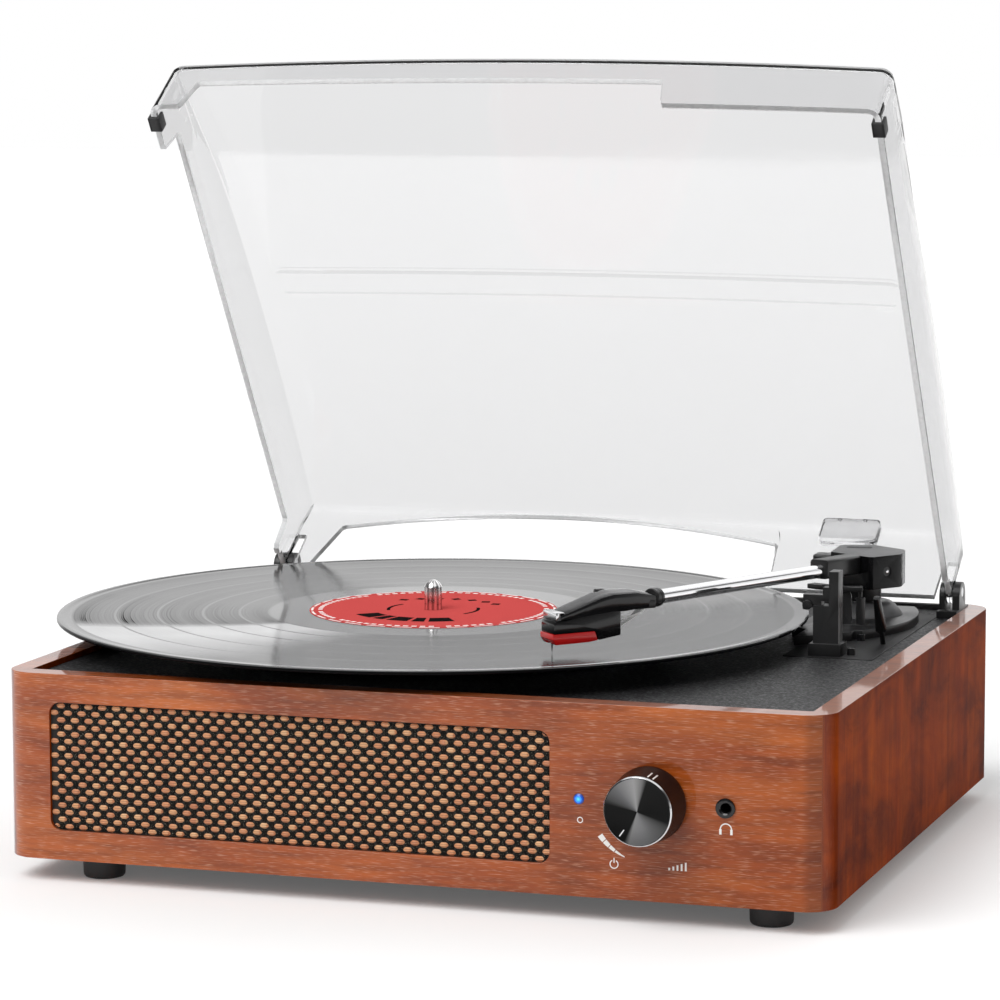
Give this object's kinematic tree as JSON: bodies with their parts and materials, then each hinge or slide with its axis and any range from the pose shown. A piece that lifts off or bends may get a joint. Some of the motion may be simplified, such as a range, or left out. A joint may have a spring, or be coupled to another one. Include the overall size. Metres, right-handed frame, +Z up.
{
  "type": "record player",
  "caption": "Tabletop record player: wooden plinth with a front speaker opening and volume knob, belt-driven platter with a record, pivoted tonearm and clear hinged lid.",
  "frame": {"origin": "under the middle of the whole model's box with the lid open, on the surface it stands on", "axes": "+X to the right seen from the knob's side, +Y to the hinges, +Z up along the spindle"},
  "size_m": [0.3498, 0.3068, 0.3101],
  "materials": {
    "wood": "clear lacquered reddish-brown veneer",
    "deck_skin": "fine black grain",
    "black_board": "plain black",
    "black_satin": "satin black moulding",
    "black_gloss": "polished black",
    "rubber_black": "matte",
    "steel": "bright zinc",
    "chrome_tube": "polished",
    "cloth": "black weave with tan dashes",
    "cone_paper": "pressed cone",
    "lamp": "small white indicator",
    "knob_metal": "spun dark face",
    "board_green": "circuit board",
    "parts_dark": "components",
    "brass": "turned",
    "cast": "machined",
    "vinyl": "grooved black disc",
    "label_paper": "printed red label",
    "red_plastic": "moulded red",
    "clear_lid": "clear moulded lid",
    "wire_white": "insulated leads",
    "weight": "plain"
  },
  "bodies": {
    "base": {"plinth": "wood", "bottom_board": "black_board", "rear_panel": "black_board", "deck": "deck_skin", "feet": "rubber_black", "foot_screws": "steel", "grille_board": "black_board", "grille_cloth": "cloth", "speaker_frames": "parts_dark", "speaker_cones": "cone_paper", "indicator_lens": "lamp", "volume_control": "steel", "control_nut": "steel", "headphone_socket": "steel", "main_board": "board_green", "board_parts": "parts_dark", "power_inlet": "black_board", "line_out_sockets": "brass", "aux_socket": "black_board", "bearing": "steel", "motor": "steel", "drive_belt": "rubber_black", "arm_base": "black_satin", "rest_post": "black_satin", "switch_housings": "parts_dark", "hinge_brackets": "black_satin", "hinge_pins": "steel"},
    "turntable": {"platter": "cast", "slipmat": "rubber_black", "spindle": "steel", "record": "vinyl", "record_label": "label_paper"},
    "motor_rotor": {"motor_pulley": "brass"},
    "arm_pivot": {"arm_yoke": "black_satin"},
    "tonearm": {"arm_housing": "black_gloss", "arm_pivot_screws": "steel", "arm_counterweight": "weight", "arm_tube": "chrome_tube", "tube_saddle": "black_satin", "headshell": "black_satin", "headshell_clip": "steel", "cartridge": "black_gloss", "stylus_holder": "red_plastic", "stylus": "steel", "cartridge_wires": "wire_white"},
    "latch": {"rest_latch": "black_satin"},
    "cue": {"cue_lever": "black_satin"},
    "lifter": {"lift_platform": "black_satin"},
    "knob": {"volume_knob": "knob_metal"},
    "speed_slider": {"speed_switch": "black_gloss"},
    "stop_slider": {"auto_stop_switch": "black_gloss"},
    "cover": {"lid": "clear_lid", "lid_bumpers": "rubber_black"}
  },
  "joints": [
    {"name": "lid_hinge", "type": "hinge", "parent": "base", "child": "cover", "pos_m": [0.0129, 0.12593, 0.088], "axis": [1, 0, 0], "range_deg": [0, 56.41]},
    {"name": "platter_spin", "type": "hinge", "parent": "base", "child": "turntable", "pos_m": [-0.0241, 0.00263, 0.079], "axis": [0, 0, 1], "continuous": true},
    {"name": "motor_spin", "type": "hinge", "parent": "base", "child": "motor_rotor", "pos_m": [-0.0241, -0.07537, 0.069], "axis": [0, 0, 1], "continuous": true},
    {"name": "tonearm_swing", "type": "hinge", "parent": "base", "child": "arm_pivot", "pos_m": [0.1316, 0.09492, 0.089], "axis": [0, 0, 1], "range_deg": [-19.2, 17.06]},
    {"name": "tonearm_lift", "type": "hinge", "parent": "arm_pivot", "child": "tonearm", "pos_m": [0.1316, 0.09492, 0.1008], "axis": [-0.8387, 0.5446, 0], "range_deg": [0, 1]},
    {"name": "rest_latch_swing", "type": "hinge", "parent": "base", "child": "latch", "pos_m": [0.1295, 0.01063, 0.098], "axis": [0, 1, 0], "range_deg": [0, 90]},
    {"name": "cue_lever_tilt", "type": "hinge", "parent": "base", "child": "cue", "pos_m": [0.1522, 0.04462, 0.071], "axis": [-1, 0, 0], "range_deg": [0, 45]},
    {"name": "lifter_rise", "type": "slide", "parent": "base", "child": "lifter", "axis": [0, 0, 1], "range_m": [0, 0.003]},
    {"name": "volume_turn", "type": "hinge", "parent": "base", "child": "knob", "pos_m": [0.1079, -0.13737, 0.0452], "axis": [0, 1, 0], "range_deg": [0, 300]},
    {"name": "speed_slide", "type": "slide", "parent": "base", "child": "speed_slider", "axis": [1, 0, 0], "range_m": [0, 0.007]},
    {"name": "auto_stop_slide", "type": "slide", "parent": "base", "child": "stop_slider", "axis": [1, 0, 0], "range_m": [0, 0.007]}
  ],
  "couplings": [
    {"joint": "motor_spin", "follows": "platter_spin", "ratio": 10.6},
    {"joint": "tonearm_lift", "follows": "cue_lever_tilt", "ratio": 0.0222},
    {"joint": "lifter_rise", "follows": "cue_lever_tilt", "m_per_rad": 0.0038}
  ]
}
